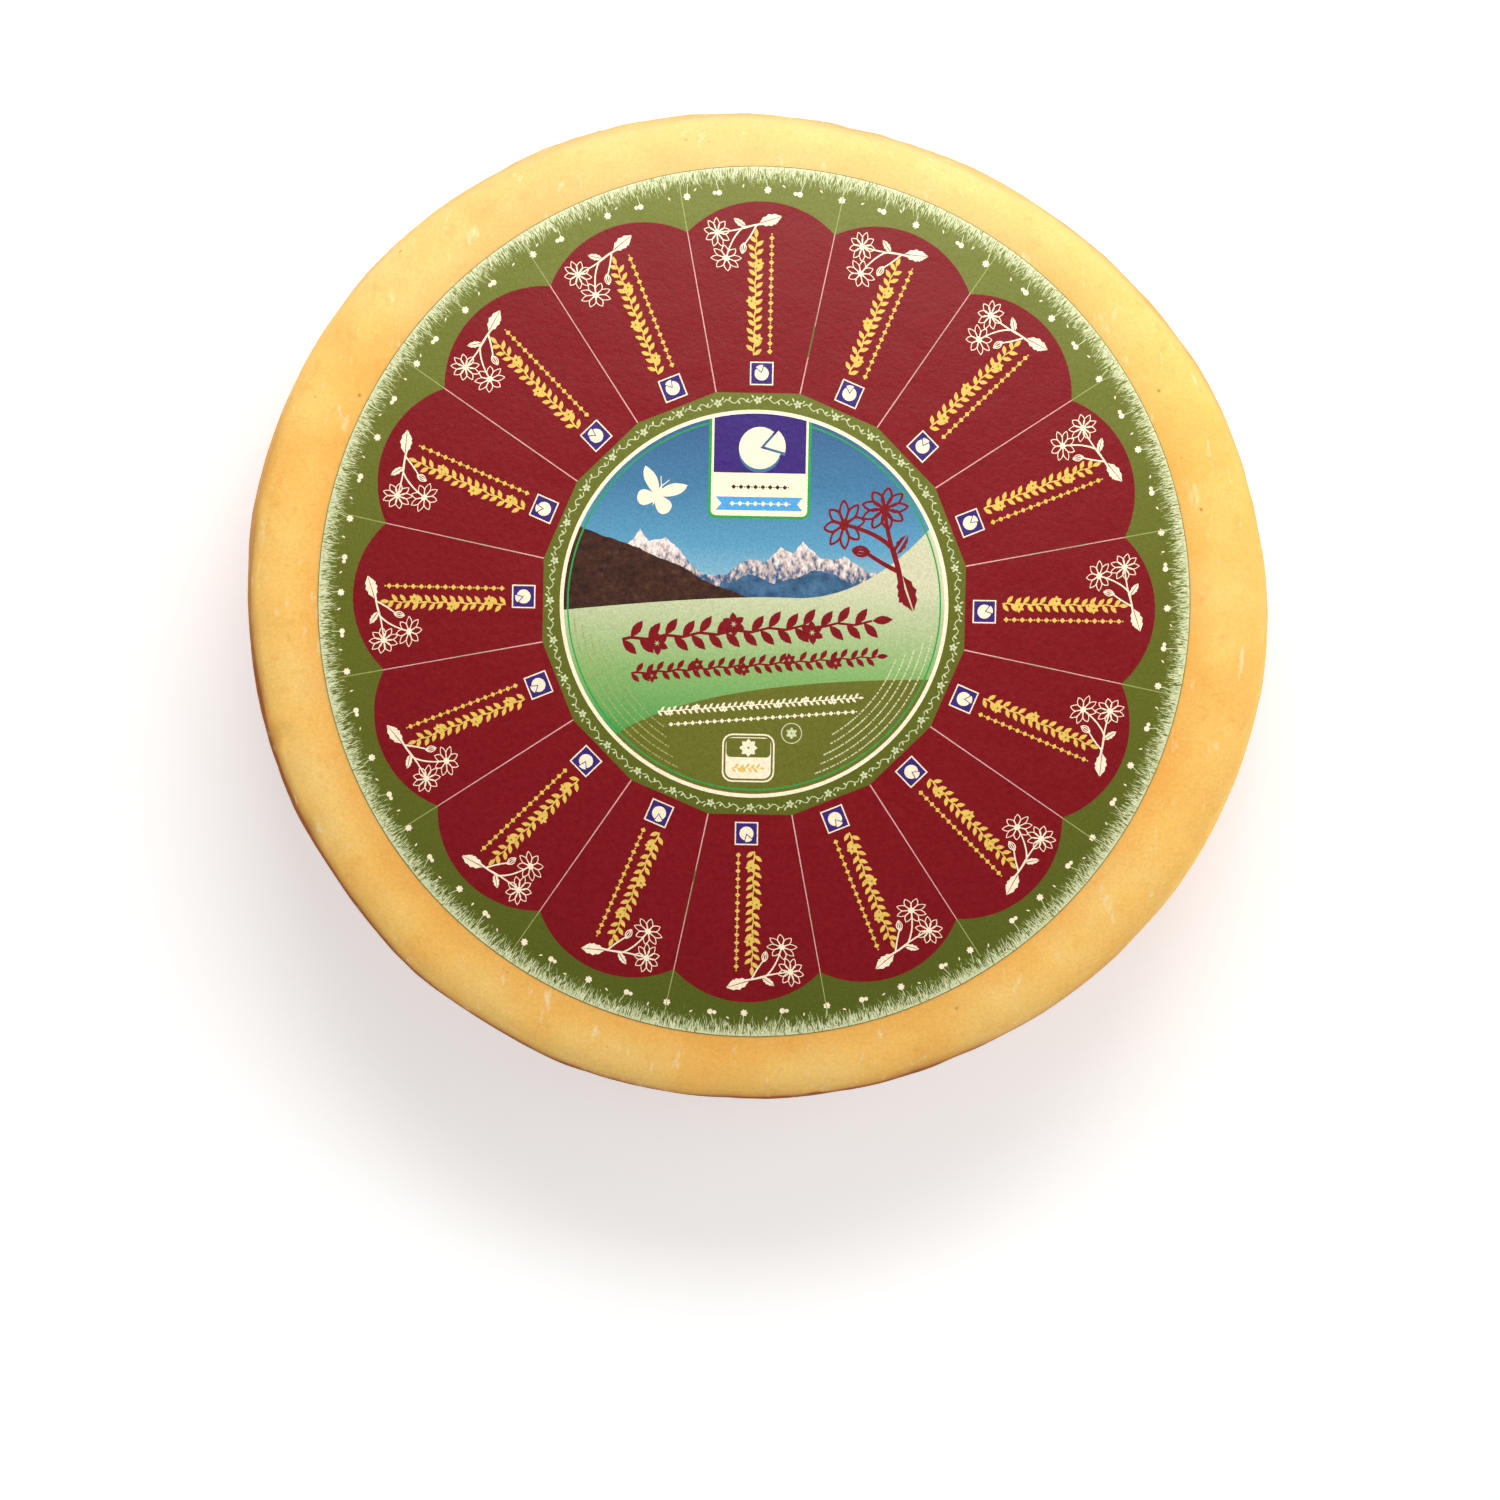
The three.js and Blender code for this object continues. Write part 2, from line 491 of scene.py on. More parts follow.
def draw_landscape(drawing, rng):
    """A mountain landscape that is nowhere in particular: sky, range, slope and meadow."""
    window = drawing.ink("sky_blue", [circle(0j, PICTURE_RADIUS, 144)])

    def land(name, line, roughness=0.0, rounds=0):
        points = [complex(*point) for point in line]
        drawing.ink(name, [ground(points, rng, roughness, rounds)], window)

    land("snowy_rock", [(-62, 8), (-46, 15), (-40, 18), (-36, 23), (-33, 19), (-28, 20.5),
                        (-17, 10), (-9, 9), (-3, 13.5), (3, 13), (8, 18), (12, 16), (15, 20),
                        (21, 14.5), (28, 15.5), (36, 10.5), (46, 13), (62, 8)], 0.13, 4)
    land("haze_blue", [(-62, 2), (-26, 3), (-12, 5.5), (-2, 9.5), (7, 6.5), (19, 11), (30, 7),
                       (42, 8), (62, 4)], 0.12, 4)
    land("slope_brown", [(-62, 26), (-50, 21.5), (-36, 17), (-24, 12), (-10, 5), (6, 0),
                         (62, -6)], 0.05, 5)
    meadow = curve(-62 - 3.2j, -10 + 3j, 12 + 2.2j, 12) + curve(12 + 2.2j, 38 + 1.2j, 62 + 34j, 18)[1:]
    drawing.ink("meadow_green", [ground(meadow)], window)
    hill = curve(-48 - 46j, -24 - 23j, 62 - 22.5j, 24)
    drawing.ink("hill_green", [ground(hill)], window)
    return window


def draw_crest(drawing, window):
    """The cream panel that hangs from the picture's rim, with a plain cheese on a navy field."""
    low, high = CREST_CORNERS
    rim = complex(0.9, 0.9)
    middle = complex((low.real + high.real) / 2, 48.6)
    ribbon = [-12.6 + 29.3j, 14.6 + 29.3j, 12.8 + 31.4j, 14.6 + 33.5j, -12.6 + 33.5j, -10.8 + 31.4j]
    drawing.ink_rows((
        ("bright_green", [block(low, high, 2.4)]),
        ("cream", [block(low + rim, high - rim, 1.7)]),
        ("navy", [block(-13.4 + 41j, 15.3 + 62j)]),
        ("sky_blue", placed(cut_wheel(6.6), middle - 0.9j)),
        ("cream", placed(cut_wheel(6.6), middle + 0.2j)),
        ("slope_brown", placed(beads(19, 1.9), -8.2 + 36.6j)),
        ("light_blue", [ribbon]),
        ("cream", placed(beads(20, 2.0), -8.6 + 31.4j)),
    ), window)


def draw_lettering(drawing, window):
    """Ornament where the lettering would be: garlands and beads that climb to the right."""
    for name, shapes, at in (
        ("wine_red", garland(80, 9.6, 5.4, 1.0), -41 - 11.8j),
        ("wine_red", garland(78, 5.6, 3.2, 0.7), -38 - 22.4j),
        ("cream", garland(64, 2.7, 1.9, 0.4), -29.4 - 34.2j),
        ("cream", beads(60, 1.9), -26.4 - 38.2j),
    ):
        drawing.ink(name, placed(shapes, at, LETTERING_SLANT), window)


def draw_small_print(drawing, window, rng):
    """Rows of dashes along the picture's rim, low on the left and on the right."""
    for k in range(SMALL_PRINT_ROWS):
        radius = SMALL_PRINT_RADIUS - SMALL_PRINT_PITCH * k
        inset = SMALL_PRINT_INSET * k
        for start, name in ((246 - inset, "light_green"), (351 - inset, "grass_green")):
            small_print = dashes(math.radians(60 - 2 * inset) * radius, 0.42, rng)
            drawing.ink(name, bent(small_print, radius, start), window)


def draw_badges(drawing, window):
    """A square badge with a flower and a garland, and a small ring with a flower."""
    low, high = BADGE, BADGE + 3.2j
    drawing.ink_rows((
        ("cream", [tile(low, 8.2 + 7.6j, 3.2)]),
        ("hill_green", [tile(low, 7.7 + 7.1j, 2.8)]),
        ("cream", [tile(low, 7.1 + 6.5j, 2.3)]),
        ("hill_green", [tile(high, 6.9 + 3j, 1.4)]),
        ("cream", placed(blossom(8, 2.6), high)),
        ("gold", placed(garland(9, 2.6, 1.7, 0.3), low - 5 - 3.2j)),
        ("grass_green", [circle(RING_MARK, 3.3, 28)]),
        ("hill_green", [circle(RING_MARK, 3.0, 28)]),
        ("grass_green", placed(blossom(6, 1.7), RING_MARK)),
    ), window)


def draw_picture_marks(drawing, window, rng):
    """What lies over the landscape, and the green line round it all."""
    drawing.ink("wine_red", placed(posy(0.6), PICTURE_POSY, 0, 1.6), window)
    drawing.ink("cream", placed(butterfly(14.5), BUTTERFLY, -24), window)
    draw_lettering(drawing, window)
    draw_small_print(drawing, window, rng)
    draw_badges(drawing, window)
    halves = [arc(0j, 58.2, start, start + 180, 70) for start in (90, 270)]
    drawing.ink("bright_green", [stroke(half, 0.5) for half in halves], window)
    draw_crest(drawing, window)


def draw_label():
    """The whole print, from the paper's edge inwards."""
    rng = random.Random(7)
    drawing = Drawing()
    draw_meadow_edge(drawing, rng)
    draw_portions(drawing)
    draw_vine_ring(drawing)
    window = draw_landscape(drawing, rng)
    draw_picture_marks(drawing, window, rng)
    return drawing


# ---- from the drawing to a sheet of paper ----------------------------------------------------

def facing_up(shape):
    """The outline turned anticlockwise, if it isn't."""
    doubled_area = sum((a.conjugate() * b).imag for a, b in zip(shape, shape[1:] + shape[:1]))
    return shape if doubled_area > 0 else shape[::-1]


def grid_points(radius, spacing):
    """Points all over a disc, so that no triangle is too long to follow the wheel."""
    row_height = spacing * math.sqrt(0.75)
    rows = int(radius / row_height)
    for row in range(-rows, rows + 1):
        for column in range(-rows - rows, rows + rows + 1):
            point = complex((column + row % 2 / 2) * spacing, row * row_height)
            if abs(point) < radius - spacing / 4:
                yield point


def partition(outlines, spacing):
    """Cuts the label's disc into triangles along every outline.

    Gives the points, the triangles, and for each triangle the outlines that it lies in.
    """
    points, rings = [], []
    for shape in map(facing_up, outlines):
        rings.append(list(range(len(points), len(points) + len(shape))))
        points += shape
    points += grid_points(LABEL_RADIUS_MM, spacing)
    vectors = [Vector((p.real, p.imag)) for p in points]
    inside_outlines, tolerance = 1, 1e-4
    found = delaunay_2d_cdt(vectors, [], rings, inside_outlines, tolerance, True)
    return found[0], found[2], found[5]


def ink_of(drawing, holders):
    """The ink on a triangle: the last outline printed over it whose window, if any, it is in."""
    holders = set(holders)
    seen = (h for h in holders if drawing.windows[h] is None or drawing.windows[h] in holders)
    return drawing.inks[max(seen)]


def sheet_mesh(drawing, spacing, inks):
    """A flat closed sheet one millimetre thick: printed triangles above, plain ones below."""
    mesh = bpy.data.meshes.new("label_paper")
    sheet = bmesh.new()
    rims = []
    for outlines, height in ((drawing.outlines, 1.0), (drawing.outlines[:1], 0.0)):
        points, triangles, holders = partition(outlines, spacing if height else 3 * spacing)
        corners = [sheet.verts.new((p.x, p.y, height)) for p in points]
        for triangle, holder in zip(triangles, holders):
            order = triangle if height else triangle[::-1]
            face = sheet.faces.new([corners[i] for i in order])
            face.material_index = inks.index(ink_of(drawing, holder)) if height else 0
            face.smooth = True
        rim = [v for v in corners if v.co.xy.length > LABEL_RADIUS_MM - 0.01]
        rims.append(sorted(rim, key=lambda v: math.atan2(v.co.y, v.co.x)))
    above, below = rims
    for i in range(len(above)):
        sheet.faces.new((below[i - 1], below[i], above[i], above[i - 1]))
    sheet.to_mesh(mesh)
    sheet.free()
    return mesh


# ---- paper and inks --------------------------------------------------------------------------

BLADE_LENGTH, BLADE_WIDTH = 2.3, 0.32  # of the fringe's grass, in mm
BLADE_REACH = 7.5  # how far from the paper's edge its blades thin out, in mm


def paper_grain(tree, place):
    """The felt of wet-strength label paper: soft flocks under two millimetres, and fine fibres."""
    return [
        add(tree, "TexNoise", {
            "Vector": place, "Scale": cells(size_mm), "Detail": detail, "Roughness": 0.6})
        for size_mm, detail in ((1.8, 4.0), (0.7, 2.0))]


def finish_paper(tree, shader, place, colour, felt, fine):
    """Gives a printed colour the paper's surface: uneven ink, soft sheen, felt and cockling."""
    ink = add(tree, "MapRange", {
        "Value": fine, "From Min": 0.3, "From Max": 0.7, "To Min": 0.87, "To Max": 1.13})
    printed = add(tree, "Mix", {0: 1.0, 6: colour, 7: ink}, data_type="RGBA", blend_type="MULTIPLY")
    cockle = add(tree, "TexNoise", {"Vector": place, "Scale": cells(15), "Detail": 1.0})
    relief = add(tree, "Math", {0: cockle, 1: 2.5, 2: felt}, operation="MULTIPLY_ADD")
    height = add(tree, "Math", {0: fine, 1: 0.35, 2: relief}, operation="MULTIPLY_ADD")
    grain = add(tree, "Bump", {"Strength": 0.9, "Distance": 0.18 * MM, "Height": height})
    gloss = add(tree, "MapRange", {
        "Value": felt, "From Min": 0.3, "From Max": 0.7, "To Min": 0.4, "To Max": 0.5})
    fill(tree, shader, {"Base Color": printed, "Roughness": gloss, "Normal": grain,
                        "Specular IOR Level": 0.22})


def printed_paper(name, draw):
    """Offset-printed label paper: satin ink over felt grain, with the colour that draw gives."""
    material, tree, shader, place = new_material("label paper, " + name.replace("_", " "))
    felt, fine = paper_grain(tree, place)
    finish_paper(tree, shader, place, draw(tree, place, felt), felt, fine)
    return material


def plain_ink(rgb):
    """One flat ink, which lies a little thinner on the crests of the paper's grain."""
    full = (*rgb, 1.0)
    thin = (*[c * 1.14 + 0.002 for c in rgb], 1.0)

    def draw(tree, place, felt):
        return add(tree, "ValToRGB", {0: felt}, stops=[(0.35, full), (0.75, thin)])

    return draw


def border_ink(rgb):
    """The border's green with painted light: a painted sheen lightens it towards the top of the label
    and painted shade darkens it at its foot.
    """
    def draw(tree, place, felt):
        height = height_in_picture(tree, place, -LABEL_RADIUS_MM, LABEL_RADIUS_MM)
        # Painted sheen and shade: the ink is multiplied by a ramp from dark at the label's foot to
        # full at its top.
        stops = [(0.0, (0.54, 0.58, 0.35, 1.0)), (0.5, (0.72, 0.7, 0.42, 1.0)), (1.0, grey(1.0))]
        painted_sheen_and_shade = add(tree, "ValToRGB", {0: height}, stops=stops)
        return add(tree, "Mix", {
            0: 1.0, 6: (*rgb, 1.0), 7: painted_sheen_and_shade}, data_type="RGBA", blend_type="MULTIPLY")

    return draw


def grass_cover(tree, place):
    """Meadow grass: blades side by side, rooted at the paper's edge and thinning inwards."""
    level = add(tree, "VectorMath", {0: place, 1: (1.0, 1.0, 0.0)}, operation="MULTIPLY")
    outward = add(tree, "VectorMath", {
        0: level, 1: (LABEL_CENTRE.x, LABEL_CENTRE.y, 0.0)}, operation="SUBTRACT")
    radius = add(tree, "VectorMath", {0: outward}, operation="LENGTH")
    heading = add(tree, "VectorMath", {0: outward}, operation="NORMALIZE")
    along = add(tree, "Math", {0: radius, 1: cells(BLADE_LENGTH)}, operation="MULTIPLY")
    rise = add(tree, "CombineXYZ", {"Z": along})
    around = LABEL_RADIUS_MM / BLADE_WIDTH
    spread = add(tree, "VectorMath", {
        0: heading, 1: (around, around, 0.0), 2: rise}, operation="MULTIPLY_ADD")
    blades = add(tree, "TexNoise", {
        "Vector": spread, "Scale": 1.0, "Detail": 2.0, "Roughness": 0.6, "Distortion": 0.45})
    edge = LABEL_RADIUS_MM * MM
    depth = add(tree, "MapRange", {
        "Value": radius, "From Min": edge - BLADE_REACH * MM, "From Max": edge})
    return add(tree, "Math", {0: depth, 1: 0.42, 2: blades}, operation="MULTIPLY_ADD")


def fringe_ink(rgb):
    """Pale blades of grass over the border's green, with the border's painted sheen and shade."""
    def draw(tree, place, felt):
        cover = grass_cover(tree, place)
        shown = add(tree, "MapRange", {"Value": cover, "From Min": 0.73, "From Max": 0.78})
        blades = add(tree, "ValToRGB", {0: cover}, stops=[(0.76, "#AEB674"), (0.85, "#D8DDB2")])
        return add(tree, "Mix", {
            0: shown, 6: border_ink(rgb)(tree, place, felt), 7: blades}, data_type="RGBA")

    return draw


def height_in_picture(tree, place, low_mm, high_mm):
    """0 at one height of the printed picture and 1 at another, measured from the label's middle."""
    y = add(tree, "SeparateXYZ", {0: place}).node.outputs["Y"]
    return add(tree, "MapRange", {
        "Value": y, "From Min": LABEL_CENTRE.y + low_mm * MM,
        "From Max": LABEL_CENTRE.y + high_mm * MM})


def gradient_ink(low_mm, high_mm, stops):
    """An ink that changes between two heights in the picture."""
    def draw(tree, place, felt):
        height = height_in_picture(tree, place, low_mm, high_mm)
        return add(tree, "ValToRGB", {0: height}, stops=stops)

    return draw


def patchy_ink(size_mm, detail, roughness, stops):
    """An ink in soft patches of about this size."""
    def draw(tree, place, felt):
        patches = add(tree, "TexNoise", {
            "Vector": place, "Scale": cells(size_mm), "Detail": detail, "Roughness": roughness})
        return add(tree, "ValToRGB", {0: patches}, stops=stops)

    return draw


def rock_ink(tree, place, felt):
    """Snow and bare rock: bright pinkish crests over blue-grey shade."""
    steep = add(tree, "Mapping", {
        "Vector": place, "Rotation": (0.0, 0.0, 0.7), "Scale": (1.4, 0.8, 1.0)})
    crag = add(tree, "TexNoise", {
        "Vector": steep, "Scale": cells(2.0), "Detail": 5.0, "Roughness": 0.6})
    height = height_in_picture(tree, place, 2, 22)
    level = add(tree, "Math", {0: height, 1: 0.36, 2: crag}, operation="MULTIPLY_ADD")
    stops = [(0.5, "#36547A"), (0.6, "#66748E"), (0.67, "#BCA8A4"), (0.82, "#F0E4DC")]
    return add(tree, "ValToRGB", {0: level}, stops=stops)


PLAIN_INKS = {
    "deep_green": "#6B7030",
    "grass_green": "#CDD3A6",
    "light_green": "#9DA461",
    "rose": "#D9A9A0",
    "cream": "#FBEACB",
    "navy": "#3A2470",
    "gold": "#E2BE5A",
    "bright_green": "#2E9A4A",
    "light_blue": "#4FA0D8",
    "hill_green": "#686A24",
}
PICTURE_INKS = {
    "sky_blue": gradient_ink(5, 58, [
        (0.0, "#8CBCCC"), (0.25, "#5C9ABB"), (0.6, "#44799E"), (1.0, "#3C5F8A")]),
    "snowy_rock": rock_ink,
    "haze_blue": patchy_ink(5, 5.0, 0.65, [(0.35, "#284868"), (0.65, "#4C7496")]),
    "slope_brown": patchy_ink(2.5, 6.0, 0.7, [
        (0.35, "#2C1812"), (0.58, "#482A1E"), (0.75, "#584630")]),
    "meadow_green": gradient_ink(-42, 6, [(0.0, "#479A4A"), (0.45, "#8CB36B"), (1.0, "#D2D1AD")]),
}


def label_inks(lobe_colour, border_colour):
    """Every ink on the label by name, as a function that draws it."""
    inks = {name: plain_ink(linear(value)[:3]) for name, value in PLAIN_INKS.items()}
    inks.update(PICTURE_INKS)
    inks["wine_red"] = plain_ink(lobe_colour)
    # The olive border and ring, and the fringe under its grass, carry a painted sheen at the top and
    # painted shade at the foot.
    inks["olive_green"] = border_ink(border_colour)
    inks["grass_fringe"] = fringe_ink(border_colour)
    return inks


# ---- the rind --------------------------------------------------------------------------------

# Each pair is where a change begins and where it is complete.
SHEEN_ENDS = (88 * MM, 84 * MM)  # heights over which the waxy sheen of the top goes
SHOULDER_SHADE = (84.5 * MM, 79 * MM)  # heights of the painted shade on the shoulder turned away from the lights
SIDE_BEGINS = (78 * MM, 60 * MM)
BASE_BEGINS = (6 * MM, 1.5 * MM)
PAINTED_SHEEN_END = (70 * MM, 150 * MM)  # painted sheen: the end of the wheel towards +Y and the lights, painted paler
# Towards the side of the wheel turned away from the lights, whose shoulder gets painted shade. The dot
# product is 1 at the rind there.
SHADED_SIDE = Vector((-0.5, -0.87, 0.0)) / (WHEEL_HIGH.x - WHEEL_LOW.x) * 2


def rind_top(tree, place, dapple):
    """The waxy top: gold with paler clouds and amber flecks, deeper where the label's edge is."""
    clouds = add(tree, "TexNoise", {
        "Vector": place, "Scale": cells(30), "Detail": 4.0, "Roughness": 0.55})
    stops = [(0.32, "#F9BF62"), (0.5, "#FCC96D"), (0.68, "#FDD17C")]
    colour = add(tree, "ValToRGB", {0: clouds}, stops=stops)
    flecked = add(tree, "MapRange", {
        "Value": dapple, "From Min": 0.56, "From Max": 0.8, "To Min": 0.0, "To Max": 0.45})
    colour = add(tree, "Mix", {0: flecked, 6: colour, 7: "#E8963C"}, data_type="RGBA")
    level = add(tree, "VectorMath", {0: place, 1: (1.0, 1.0, 0.0)}, operation="MULTIPLY")
    from_middle = add(tree, "VectorMath", {
        0: level, 1: (LABEL_CENTRE.x, LABEL_CENTRE.y, 0.0)}, operation="DISTANCE")
    paper = LABEL_RADIUS_MM * MM
    moist = add(tree, "MapRange", {
        "Value": from_middle, "From Min": paper + 9 * MM, "From Max": paper, "To Max": 0.45})
    return add(tree, "Mix", {0: moist, 6: colour, 7: "#EE9F48"}, data_type="RGBA")


def rind_side(tree, place, height):
    """The dry side: gold at the shoulder, browner towards the shelf, partly its own colour and partly
    painted shade, blotched and mottled.
    """
    slanted = add(tree, "Mapping", {
        "Vector": place, "Rotation": (0.25, 0.2, 0.0), "Scale": (1.0, 1.0, 0.22)})
    blotches, mottle, runs = [
        add(tree, "TexNoise", {
            "Vector": vector, "Scale": cells(size_mm), "Detail": detail, "Roughness": roughness})
        for vector, size_mm, detail, roughness in (
            (place, 16, 4.0, 0.6), (place, 4.2, 5.0, 0.65), (slanted, 2.4, 3.0, 0.55))]
    # Darker towards the shelf: partly the rind's own colour and partly painted shade low on the side.
    low_shade_and_tone = add(tree, "MapRange", {
        "Value": height, "From Min": 0.0, "From Max": WHEEL_HIGH.z, "To Min": -0.66,
        "To Max": 0.22})
    marks = add(tree, "Math", {0: mottle, 1: 0.6, 2: blotches}, operation="MULTIPLY_ADD")
    marks = add(tree, "Math", {0: runs, 1: 0.28, 2: marks}, operation="MULTIPLY_ADD")
    tone = add(tree, "Math", {0: marks, 1: 0.88, 2: low_shade_and_tone}, operation="MULTIPLY_ADD")
    stops = [(0.05, "#7C4718"), (0.25, "#A56226"), (0.45, "#C98236"), (0.62, "#E39A42"),
             (0.82, "#F2AD4E"), (1.0, "#FAC46C")]
    return add(tree, "ValToRGB", {0: tone}, stops=stops)


def rind_base(tree, place):
    """The underside: dull amber with the marks of the shelf's boards."""
    boards = add(tree, "Mapping", {"Vector": place, "Scale": (1.0, 0.3, 1.0)})
    marks = add(tree, "TexNoise", {
        "Vector": boards, "Scale": cells(11), "Detail": 5.0, "Roughness": 0.65})
    stops = [(0.35, "#A8723A"), (0.5, "#BC8444"), (0.68, "#CE9C5C")]
    return add(tree, "ValToRGB", {0: marks}, stops=stops)


def rind_specks(tree, place):
    """Where the small brown specks are: in some cells of a pattern, each under a millimetre."""
    cell = add(tree, "TexVoronoi", {"Vector": place, "Scale": cells(7.5)}).node.outputs
    near = add(tree, "MapRange", {
        "Value": cell["Distance"], "From Min": 0.1, "From Max": 0.04, "To Max": 0.6})
    chosen = add(tree, "MapRange", {"Value": cell["Color"], "From Min": 0.64, "From Max": 0.66})
    return add(tree, "Math", {0: near, 1: chosen}, operation="MULTIPLY")


def rind_scuffs(tree, place):
    """Where shelves and hands have rubbed the rind pale, in slanting streaks."""
    askew = add(tree, "Mapping", {
        "Vector": place, "Rotation": (0.5, 0.0, 0.9), "Scale": (1.0, 0.35, 1.0)})
    rubbing = add(tree, "TexNoise", {
        "Vector": askew, "Scale": cells(3.6), "Detail": 4.0, "Roughness": 0.6})
    return add(tree, "MapRange", {
        "Value": rubbing, "From Min": 0.62, "From Max": 0.74, "To Max": 0.6})


def rind_zones(tree, place):
    """A point's height, and how far it is into the side, the underside, the painted shade on the
    shoulder and the painted sheen at the +Y end, each from 0 to 1."""
    parts = add(tree, "SeparateXYZ", {0: place}).node.outputs
    height = parts["Z"]
    # How far a point lies towards the side turned away from the lights, for the painted shade.
    facing = add(tree, "VectorMath", {0: place, 1: SHADED_SIDE}, operation="DOT_PRODUCT")
    shade_facing = add(tree, "MapRange", {"Value": facing, "From Min": 0.0, "From Max": 0.6})
    side, base, shoulder, painted_end_sheen = [
        add(tree, "MapRange", {"Value": value, "From Min": start, "From Max": end, "To Max": most})
        for value, (start, end), most in (
            (height, SIDE_BEGINS, 1.0), (height, BASE_BEGINS, 1.0),
            (height, SHOULDER_SHADE, 0.95), (parts["Y"], PAINTED_SHEEN_END, 0.38))]
    # Painted shade: the shoulder band, only on the side turned away from the lights.
    painted_shade_rim = add(tree, "Math", {0: shoulder, 1: shade_facing}, operation="MULTIPLY")
    return height, side, base, painted_shade_rim, painted_end_sheen


def rind_material():
    """Washed natural cheese rind: waxy gold on top, drier and browner down the side, partly painted
    shade, with painted shade on one shoulder and a painted sheen at the +Y end.
    """
    material, tree, shader, place = new_material("washed cheese rind")
    height, side, base, painted_shade_rim, painted_end_sheen = rind_zones(tree, place)
    dapple = add(tree, "TexNoise", {
        "Vector": place, "Scale": cells(5.5), "Detail": 4.0, "Roughness": 0.6})
    colour = rind_top(tree, place, dapple)
    for share, over in (
        (side, rind_side(tree, place, height)),
        # Painted sheen: the +Y end of the wheel, towards the lights, painted paler.
        (painted_end_sheen, "#FDCC9C"),
        # Painted shade: a dark brown band on the shoulder turned away from the lights.
        (painted_shade_rim, "#8A3F06"),
        (base, rind_base(tree, place)),
        (rind_specks(tree, place), "#8A4F20"),
        (rind_scuffs(tree, place), "#FBE9BE"),
    ):
        colour = add(tree, "Mix", {0: share, 6: colour, 7: over}, data_type="RGBA")

    # A fine sandy grain that mottles the colour and breaks up the sheen.
    grit = add(tree, "TexNoise", {
        "Vector": place, "Scale": cells(1.0), "Detail": 3.0, "Roughness": 0.6})
    sand = add(tree, "MapRange", {
        "Value": grit, "From Min": 0.3, "From Max": 0.7, "To Min": 0.93, "To Max": 1.06})
    colour = add(tree, "Mix", {0: 1.0, 6: colour, 7: sand}, data_type="RGBA", blend_type="MULTIPLY")
    pores = add(tree, "Math", {0: dapple, 1: 1.2, 2: grit}, operation="MULTIPLY_ADD")
    depth = add(tree, "Math", {0: side, 1: 0.3, 2: 0.4}, operation="MULTIPLY_ADD")
    bump = add(tree, "Bump", {"Strength": depth, "Distance": 0.3 * MM, "Height": pores})
    start, end = SHEEN_ENDS
    rough = add(tree, "MapRange", {
        "Value": height, "From Min": start, "From Max": end, "To Min": 0.35, "To Max": 1.0})
    fill(tree, shader, {
        "Base Color": colour, "Roughness": rough, "Normal": bump, "Specular IOR Level": 0.16,
        "Subsurface Weight": 0.15, "Subsurface Radius": (1.0, 0.45, 0.15),
        "Subsurface Scale": 4 * MM})
    return material


# ---- settings --------------------------------------------------------------------------------

def whole(name, description, default, least):
    return bpy.props.IntProperty(name=name, description=description, default=default, min=least)


def number(name, description, default, **kind):
    return bpy.props.FloatProperty(name=name, description=description, default=default, **kind)


def millimetres(name, description, default_mm):
    return number(name, description, default_mm * MM, unit="LENGTH")


def tint(name, description, hex_colour):
    return bpy.props.FloatVectorProperty(name=name, description=description, subtype="COLOR",
                                         default=linear(hex_colour)[:3], min=0.0, max=1.0)


class WheelSettings(bpy.types.PropertyGroup):
    """The sizes of the wheel's surface, which is finer than its section."""

    steps: whole("Steps", "Steps in which the section is turned, a multiple of four", 72, 24)
    fineness: whole("Fineness", "Rounds of subdivision", 3, 1)
    lumps: millimetres("Lumps", "How far the broad lumps swell and sink", 2.0)
    dimples: millimetres("Dimples", "How far the finger-wide dimples go", 1.7)
    knobs: millimetres("Knobs", "How far the knobs low on the side stand out", 3.4)
    grit: millimetres("Grit", "How far the fine grain stands out", 0.34)
    knocks: whole("Knocks", "How many dents handling has left", 26, 0)


class LabelSettings(bpy.types.PropertyGroup):
    """The sizes and colours of the paper label."""

    thickness: millimetres("Thickness", "Thickness of the paper", 0.15)
    gap: millimetres("Gap", "Clearance between the rind and the paper", 0.05)
    weave: millimetres("Mesh spacing", "Distance between the sheet's own points", 2.5)
    lobe_colour: tint("Lobes", "The sixteen lobes", "#7B0C16")
    # The border's colour at the top of the label, where its painted sheen is brightest; painted shade
    # darkens it lower down.
    border_colour: tint("Border", "The border and the ring, where they are lightest", "#757B34")


class StageSettings(bpy.types.PropertyGroup):
    """The floor, the lights and the camera."""

    floor_colour: tint("Floor", "Colour of the floor", "#FBFBFA")
    key_power: number("Key light", "Power of the long light beyond the wheel's +Y side", 2.75,
                      unit="POWER")
    fill_power: number("Fill light", "Power of the light on the +X side", 3.2, unit="POWER")
    sky_strength: number("Surroundings", "Strength of the white surroundings", 1.12)
    camera_distance: millimetres("Camera distance", "From the camera to the label", 2400)
    camera_tilt: number("Camera tilt", "How far the camera leans from straight above, to +Y",
                        math.radians(4.5), subtype="ANGLE")
    camera_roll: number("Camera roll", "How far the camera is turned about its own axis",
                        math.radians(1.1), subtype="ANGLE")
    focal_length: number("Focal length", "Focal length on a 36 mm sensor", 184.0, unit="CAMERA")


# ---- the wheel -------------------------------------------------------------------------------

